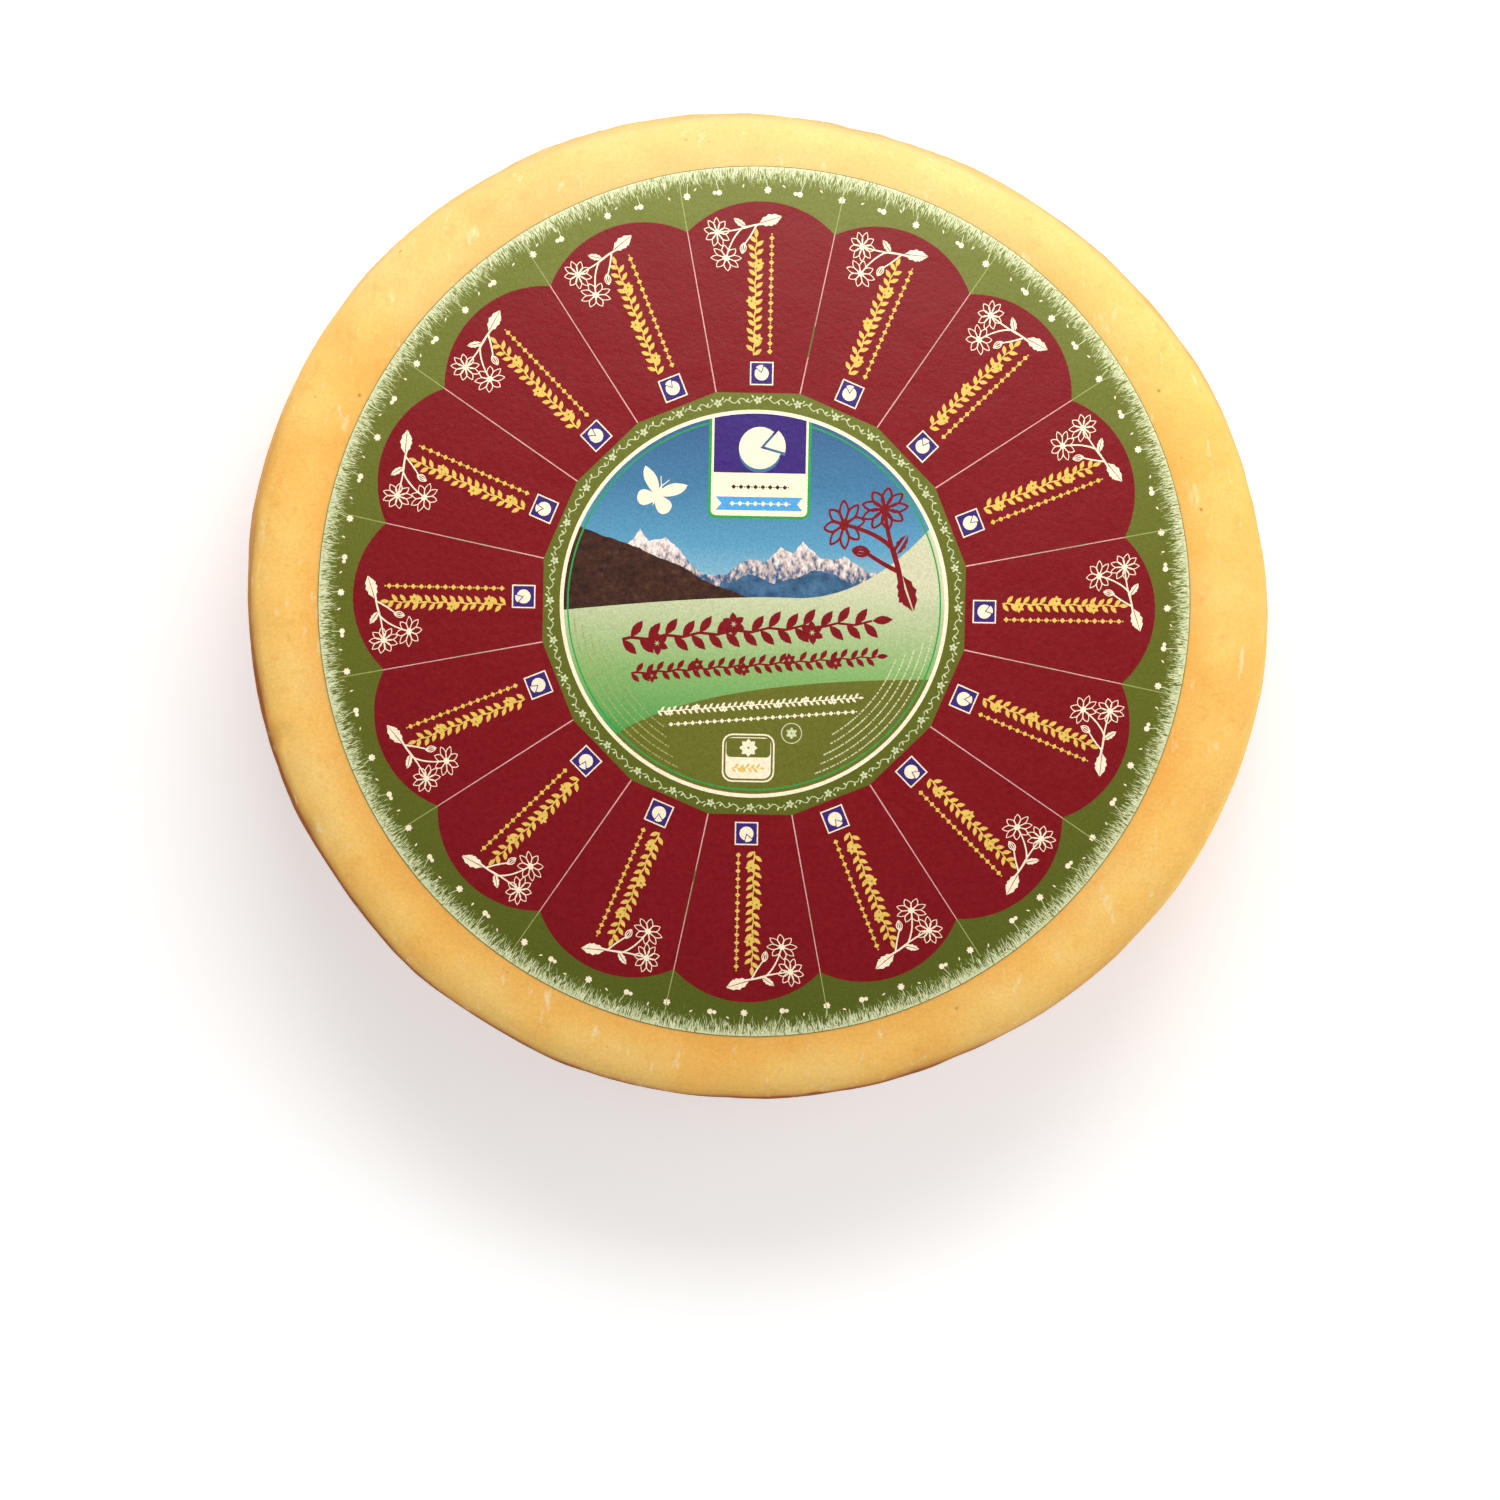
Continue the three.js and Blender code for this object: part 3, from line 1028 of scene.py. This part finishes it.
# Half of the section without its two flat faces, from the top down: radius and height in mm.
SIDE_SECTION = [
    (133.0, 88.7), (142.0, 87.9), (150.2, 86.9), (154.8, 84.2), (157.0, 78.8), (158.2, 69.0),
    (158.9, 57.0), (159.2, 45.0), (158.6, 32.0), (156.8, 20.0), (153.4, 10.0), (148.0, 3.2),
    (139.0, 0.2),
]
DOME_RISE = 6.5
DOME_RADIUS = 147.5
MEAN_RADIUS = 160.0
OUTLINE_WAVES = ((1, 1.7, 127.0), (2, 3.3, -13.0), (3, 1.2, 9.0))  # lobes, height, peak's angle
# Heights in mm over which the side begins, at the shoulder and at the foot, and its low part.
SHOULDER_ZONE, FOOT_ZONE, LOW_ZONE = (86, 76), (1, 5), (55, 15)
KNOCK_ZONES = ((80, 87, 153), (6, 80, 158))  # shoulder and side: two heights and a radius, in mm
KNOCK_RADII, KNOCK_DEPTHS = (3, 8), (0.3, 1.0)


def outline_factor(angle):
    """How much wider the wheel is at this angle than a round one, as a factor near 1."""
    return 1 + sum(height / MEAN_RADIUS * math.cos(lobes * (angle - math.radians(peak)))
                   for lobes, height, peak in OUTLINE_WAVES)


def select_level_edges(piece, height_mm):
    """Selects the edges that lie at one height, in edit mode."""
    edit = bmesh.from_edit_mesh(piece.data)
    for edge in edit.edges:
        level = all(abs(v.co.z / MM - height_mm) < 0.01 for v in edge.verts)
        edge.select_set(level)
    bmesh.update_edit_mesh(piece.data)


def spin_section(steps):
    """Draws the section point by point, turns it round the axis and fills both faces."""
    deselect_all()
    bpy.ops.mesh.primitive_plane_add(size=MM)
    piece = bpy.context.active_object
    bpy.ops.object.mode_set(mode="EDIT")
    bpy.ops.mesh.select_all(action="SELECT")
    bpy.ops.mesh.merge(type="CENTER")
    (first_radius, first_height), *_, (_, last_height) = SIDE_SECTION
    bpy.ops.transform.translate(value=(first_radius * MM, 0, first_height * MM))
    for (r0, z0), (r1, z1) in zip(SIDE_SECTION, SIDE_SECTION[1:]):
        step = ((r1 - r0) * MM, 0, (z1 - z0) * MM)
        bpy.ops.mesh.extrude_region_move(TRANSFORM_OT_translate={"value": step})
    bpy.ops.mesh.select_all(action="SELECT")
    bpy.ops.mesh.spin(steps=steps, angle=math.tau, center=(0, 0, 0), axis=(0, 0, 1))
    bpy.ops.mesh.select_all(action="SELECT")
    bpy.ops.mesh.remove_doubles(threshold=0.1 * MM)
    for height in (first_height, last_height):
        bpy.ops.mesh.select_all(action="DESELECT")
        select_level_edges(piece, height)
        bpy.ops.mesh.fill_grid(span=steps // 4)
    bpy.ops.mesh.select_all(action="SELECT")
    bpy.ops.mesh.normals_make_consistent(inside=False)
    bpy.ops.object.mode_set(mode="OBJECT")
    return piece


def settle(piece):
    """Raises the top into its dome and makes the outline oval."""
    for vertex in piece.data.vertices:
        place = vertex.co
        radius = place.xy.length / MM
        if radius < SIDE_SECTION[0][0] + 0.5 and place.z > WHEEL_HIGH.z / 2:
            place.z = (WHEEL_HEIGHT_MM - DOME_RISE * (radius / DOME_RADIUS) ** 2) * MM
        factor = outline_factor(math.atan2(place.y, place.x))
        place.x *= factor
        place.y *= factor


def bareness(place):
    """0 well under the label and 1 where the rind shows."""
    if place.z < WHEEL_HIGH.z - 20 * MM:
        return 1.0
    from_label = (place.xy - LABEL_CENTRE.xy).length / MM
    return ease(LABEL_RADIUS_MM - 1, LABEL_RADIUS_MM + 8, from_label)


def sideways(place):
    """1 on the side and 0 on the two faces."""
    height = place.z / MM
    return ease(*SHOULDER_ZONE, height) * ease(*FOOT_ZONE, height)


def lowness(place):
    """0 at the wheel's belly and above, and 1 towards the shelf."""
    return ease(*LOW_ZONE, place.z / MM)


def roughen(piece, settings):
    """Lumps, dimples, knobs and grit, each a cloud texture pushed in and out of the surface."""
    layers = (
        ("lumps", 46, settings.lumps, lambda place: 0.2 + 0.8 * bareness(place)),
        ("dimples", 13, settings.dimples,
         lambda place: bareness(place) * (0.3 + 0.7 * lowness(place))),
        ("knobs", 7, settings.knobs, lambda place: sideways(place) * lowness(place)),
        ("grit", 3.6, settings.grit,
         lambda place: bareness(place) * (0.2 + 0.8 * sideways(place) * lowness(place))),
    )
    for name, size_mm, strength, weight in layers:
        weigh(piece, name, weight)
        cloud = bpy.data.textures.new(name, "CLOUDS")
        cloud.noise_scale = size_mm * MM
        cloud.noise_depth = 2
        modify(piece, "DISPLACE", texture=cloud, texture_coords="LOCAL", vertex_group=name,
               strength=strength, mid_level=0.5)
    piece.vertex_groups.clear()


def dent(piece, count, rng):
    """Knocks from handling on the shoulder and the side. Nothing goes below the shelf."""
    knocks = []
    for _ in range(count):
        angle = rng.uniform(0, math.tau)
        places = [(rng.uniform(low, high), reach) for low, high, reach in KNOCK_ZONES]
        height, reach = rng.choice(places)
        centre = Vector((reach * math.cos(angle), reach * math.sin(angle), height)) * MM
        knocks.append((centre, rng.uniform(*KNOCK_RADII) * MM, rng.uniform(*KNOCK_DEPTHS) * MM))
    for vertex in piece.data.vertices:
        for centre, radius, depth in knocks:
            distance = (vertex.co - centre).length
            if distance < radius:
                vertex.co -= vertex.normal * depth * ease(radius, 0, distance)
        vertex.co.z = max(vertex.co.z, 0.0)


def model_wheel(settings):
    """The wheel's body, from its section to its rind."""
    piece = spin_section(settings.steps)
    piece.name = piece.data.name = "ripened_wheel"
    settle(piece)
    modify(piece, "SUBSURF", levels=settings.fineness, render_levels=settings.fineness)
    roughen(piece, settings)
    dent(piece, settings.knocks, random.Random(3))
    take(piece)
    bpy.ops.object.shade_smooth()
    piece.data.materials.append(rind_material())
    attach(piece, "root")
    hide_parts(WHEEL_NODE)


# ---- the label -------------------------------------------------------------------------------

def drape(piece, wheel, settings):
    """Lets the flat sheet down on the wheel and gives it its thickness."""
    take(piece)
    underside = WHEEL_HIGH.z + 10 * MM
    piece.location = (LABEL_CENTRE.x, LABEL_CENTRE.y, underside)
    piece.scale = (MM, MM, MM)
    bpy.ops.object.transform_apply(location=True, rotation=True, scale=True)
    weigh(piece, "printed side", lambda place: 1.0 if place.z > underside + MM / 2 else 0.0)
    modify(piece, "SHRINKWRAP", target=wheel, wrap_method="PROJECT", use_project_z=True,
           use_negative_direction=True, use_positive_direction=False, offset=settings.gap)
    modify(piece, "DISPLACE", direction="Z", vertex_group="printed side",
           strength=settings.thickness, mid_level=0.0)
    modify(piece, "DATA_TRANSFER", object=wheel, use_loop_data=True,
           data_types_loops={"CUSTOM_NORMAL"}, loop_mapping="POLYINTERP_NEAREST",
           vertex_group="printed side")
    piece.vertex_groups.clear()


def model_label(settings):
    """The label, from its drawing to the paper on the wheel."""
    inks = label_inks(settings.lobe_colour, settings.border_colour)
    mesh = sheet_mesh(draw_label(), settings.weave / MM, list(inks))
    piece = bpy.data.objects.new("printed_label", mesh)
    bpy.context.scene.collection.objects.link(piece)
    for name, draw in inks.items():
        mesh.materials.append(printed_paper(name, draw))
    drape(piece, bpy.data.objects["ripened_wheel"], settings)
    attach(piece, "root")
    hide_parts(LABEL_NODE)


# ---- the stage -------------------------------------------------------------------------------

FLOOR_SIZE = 8  # metres, like the lights' places and sizes
FLOOR_DROP = 0.4 * MM
# For each light: its place, its two sizes and its colour.
KEY_LIGHT = ((0.03, 0.31, 0.56), (0.5, 0.2), (1.0, 0.98, 0.95))
FILL_LIGHT = ((1.25, 0.25, 0.9), (0.8, 0.8), (1.0, 0.97, 0.92))
CAMERA_AIM = LABEL_CENTRE + Vector((-4.0, -45.9, 0.0)) * MM


def backdrop_material(floor_colour):
    """Satin white acrylic of a product table: lit through from below, with a faint tooth."""
    material, tree, shader, place = new_material("lit white acrylic")
    tooth = add(tree, "TexNoise", {"Vector": place, "Scale": cells(3)})
    pale = (*floor_colour, 1.0)
    dull = (*[c * 0.985 for c in floor_colour], 1.0)
    colour = add(tree, "ValToRGB", {0: tooth}, stops=[(0.3, dull), (0.7, pale)])
    fill(tree, shader, {"Base Color": colour, "Roughness": 0.8, "Emission Color": grey(1.0),
                        "Emission Strength": 0.4})
    return material


def lay_floor(settings):
    deselect_all()
    bpy.ops.mesh.primitive_plane_add(size=FLOOR_SIZE, location=(0, 0, -FLOOR_DROP))
    floor = bpy.context.active_object
    floor.name = "floor"
    floor.data.materials.append(backdrop_material(settings.floor_colour))


def hang_light(name, place, size, rgb, power):
    """A soft rectangular light that points at the wheel."""
    deselect_all()
    bpy.ops.object.light_add(type="AREA", location=place)
    light = bpy.context.active_object
    light.name = name
    light.rotation_euler = (-Vector(place)).to_track_quat("-Z", "Y").to_euler()
    light.data.shape = "RECTANGLE"
    light.data.size, light.data.size_y = size
    light.data.energy = power
    light.data.color = rgb


def surround(strength):
    """A white cove all round that is dim overhead, so that flat surfaces keep their colours."""
    world = bpy.data.worlds.new("studio cove")
    world.use_nodes = True
    tree = world.node_tree
    parts = add(tree, "SeparateXYZ", {0: add(tree, "TexCoord")}).node.outputs
    stops = [(0.4, grey(1.0)), (0.8, grey(0.05))]
    cove = add(tree, "ValToRGB", {0: parts["Z"]}, stops=stops)
    fill(tree, tree.nodes["Background"], {"Color": cove, "Strength": strength})
    bpy.context.scene.world = world


def place_camera(settings):
    """The camera looks down on the wheel, a little from the +Y side."""
    tilt = settings.camera_tilt
    back = Vector((0, math.sin(tilt), math.cos(tilt)))
    deselect_all()
    bpy.ops.object.camera_add(location=CAMERA_AIM + back * settings.camera_distance)
    camera = bpy.context.active_object
    camera.rotation_euler = (-tilt, 0, settings.camera_roll)
    camera.data.sensor_width = 36
    camera.data.lens = settings.focal_length
    camera.data.clip_start, camera.data.clip_end = 0.05, 50
    bpy.context.scene.camera = camera


def set_stage(settings):
    lay_floor(settings)
    hang_light("key light", *KEY_LIGHT, settings.key_power)
    hang_light("fill light", *FILL_LIGHT, settings.fill_power)
    surround(settings.sky_strength)
    place_camera(settings)
    bpy.context.scene.view_settings.view_transform = "Standard"


# ---- the add-on ------------------------------------------------------------------------------

class CHEESE_OT_add_wheel(bpy.types.Operator):
    """Model the wheel's body with its rind"""
    bl_idname = "cheese.add_wheel"
    bl_label = "Add wheel"

    def execute(self, context):
        model_wheel(context.scene.cheese_wheel)
        return {"FINISHED"}


class CHEESE_OT_add_label(bpy.types.Operator):
    """Print the paper label and lay it on the wheel"""
    bl_idname = "cheese.add_label"
    bl_label = "Add label"

    def execute(self, context):
        model_label(context.scene.cheese_label)
        return {"FINISHED"}


class CHEESE_OT_set_stage(bpy.types.Operator):
    """Lay the floor, hang the lights and place the camera"""
    bl_idname = "cheese.set_stage"
    bl_label = "Set stage"

    def execute(self, context):
        set_stage(context.scene.cheese_stage)
        return {"FINISHED"}


class CHEESE_PT_panel(bpy.types.Panel):
    """The wheel's settings and steps"""
    bl_idname = "CHEESE_PT_panel"
    bl_label = "Cheese wheel"
    bl_space_type = "VIEW_3D"
    bl_region_type = "UI"
    bl_category = "Cheese"

    def draw(self, context):
        for group, _, operator in STEPS:
            box = self.layout.box()
            settings = getattr(context.scene, group)
            for name in settings.__annotations__:
                box.prop(settings, name)
            box.operator(operator.bl_idname)


STEPS = (
    ("cheese_wheel", WheelSettings, CHEESE_OT_add_wheel),
    ("cheese_label", LabelSettings, CHEESE_OT_add_label),
    ("cheese_stage", StageSettings, CHEESE_OT_set_stage),
)
CLASSES = (*[cls for _, *pair in STEPS for cls in pair], CHEESE_PT_panel)


def register():
    for cls in CLASSES:
        bpy.utils.register_class(cls)
    for name, settings, _ in STEPS:
        setattr(bpy.types.Scene, name, bpy.props.PointerProperty(type=settings))


def unregister():
    for name, *_ in STEPS:
        delattr(bpy.types.Scene, name)
    for cls in reversed(CLASSES):
        bpy.utils.unregister_class(cls)


def main():
    register()
    bpy.ops.cheese.add_wheel()
    bpy.ops.cheese.add_label()
    bpy.ops.cheese.set_stage()


if __name__ == "__main__":
    main()
